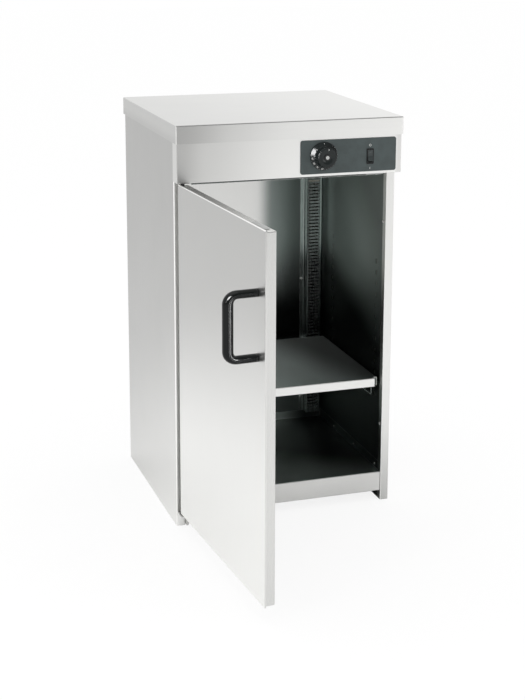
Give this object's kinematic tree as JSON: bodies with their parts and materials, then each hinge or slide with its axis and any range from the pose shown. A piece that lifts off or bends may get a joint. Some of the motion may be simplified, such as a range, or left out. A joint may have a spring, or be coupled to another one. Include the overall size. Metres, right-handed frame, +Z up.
{
  "type": "plate warmer cabinet",
  "caption": "Free-standing stainless plate warmer with a hinged door, black D handle, dial and rocker switch, louvred heater tower and a lift-out shelf on wire supports.",
  "frame": {"origin": "on the floor under the middle of the lid", "axes": "+Z up, -Y the front with the door and controls, +X to the right when facing the front"},
  "size_m": [0.4754, 0.86, 0.79],
  "materials": {
    "stainless_outer": "brushed stainless sheet, horizontal grain on the door and lid",
    "stainless_inner": "plain rolled stainless sheet, smoother than the outside",
    "control_film": "satin slate-grey plate, unprinted",
    "black_handle": "glossy black moulding",
    "knob_black": "glossy black moulding with plain white numbers",
    "knob_cap": "bright metal disc",
    "switch_black": "satin black nylon",
    "rocker_black": "glossy black nylon",
    "wire_chrome": "bright plated wire",
    "zinc_steel": "zinc-plated steel",
    "bright_screw": "bright stainless fasteners",
    "nylon_white": "natural nylon",
    "nylon_black": "black nylon",
    "ceramic": "glazed steatite",
    "element_steel": "heat-darkened steel tube",
    "ferrite": "sintered ferrite",
    "copper_tube": "copper"
  },
  "bodies": {
    "cabinet": {"top_cover": "stainless_outer", "outer_casing": "stainless_outer", "fascia": "stainless_outer", "control_plate": "control_film", "left_liner": "stainless_inner", "right_liner": "stainless_inner", "rear_liner": "stainless_inner", "ceiling_liner": "stainless_inner", "floor_pan": "stainless_outer", "floor_rivets": "bright_screw", "left_shelf_support": "wire_chrome", "right_shelf_support": "wire_chrome", "heater_tower_cover": "stainless_inner", "heating_element": "element_steel", "element_insulators": "ceramic", "element_brackets": "ceramic", "hinge_pins": "bright_screw", "top_hinge_plate": "zinc_steel", "bottom_hinge_bracket": "stainless_outer", "hinge_washer": "nylon_white", "hinge_screws": "bright_screw", "catch_magnet": "ferrite", "catch_poles": "zinc_steel", "door_stop": "stainless_inner", "fascia_screws": "bright_screw", "liner_screws": "bright_screw", "tower_screws": "bright_screw", "lid_screws": "bright_screw", "thermostat_body": "zinc_steel", "thermostat_screws": "bright_screw", "thermostat_bulb": "copper_tube", "bulb_clips": "zinc_steel", "switch_housing": "switch_black", "cable_gland": "nylon_black", "terminal_block": "nylon_white"},
    "door": {"door_outer_skin": "stainless_outer", "door_inner_pan": "stainless_inner", "hinge_blocks": "nylon_black", "door_handle": "black_handle", "handle_screws": "bright_screw", "strike_plate": "zinc_steel"},
    "knob": {"temperature_knob": "knob_black", "knob_cap": "knob_cap", "thermostat_spindle": "zinc_steel"},
    "rocker": {"switch_rocker": "rocker_black"},
    "shelf": {"shelf": "stainless_outer"}
  },
  "joints": [
    {"name": "door_hinge", "type": "hinge", "parent": "cabinet", "child": "door", "pos_m": [-0.21, -0.2042, 0.355], "axis": [0, 0, 1], "range_deg": [-94, 86]},
    {"name": "knob_turn", "type": "hinge", "parent": "cabinet", "child": "knob", "pos_m": [0.063, -0.2135, 0.7207], "axis": [0, 1, 0], "range_deg": [0, 270]},
    {"name": "switch_rock", "type": "hinge", "parent": "cabinet", "child": "rocker", "pos_m": [0.1577, -0.208, 0.716], "axis": [1, 0, 0], "range_deg": [0, 16]},
    {"name": "shelf_lift", "type": "slide", "parent": "cabinet", "child": "shelf", "axis": [0, 0, 1], "range_m": [0, 0.253]}
  ]
}
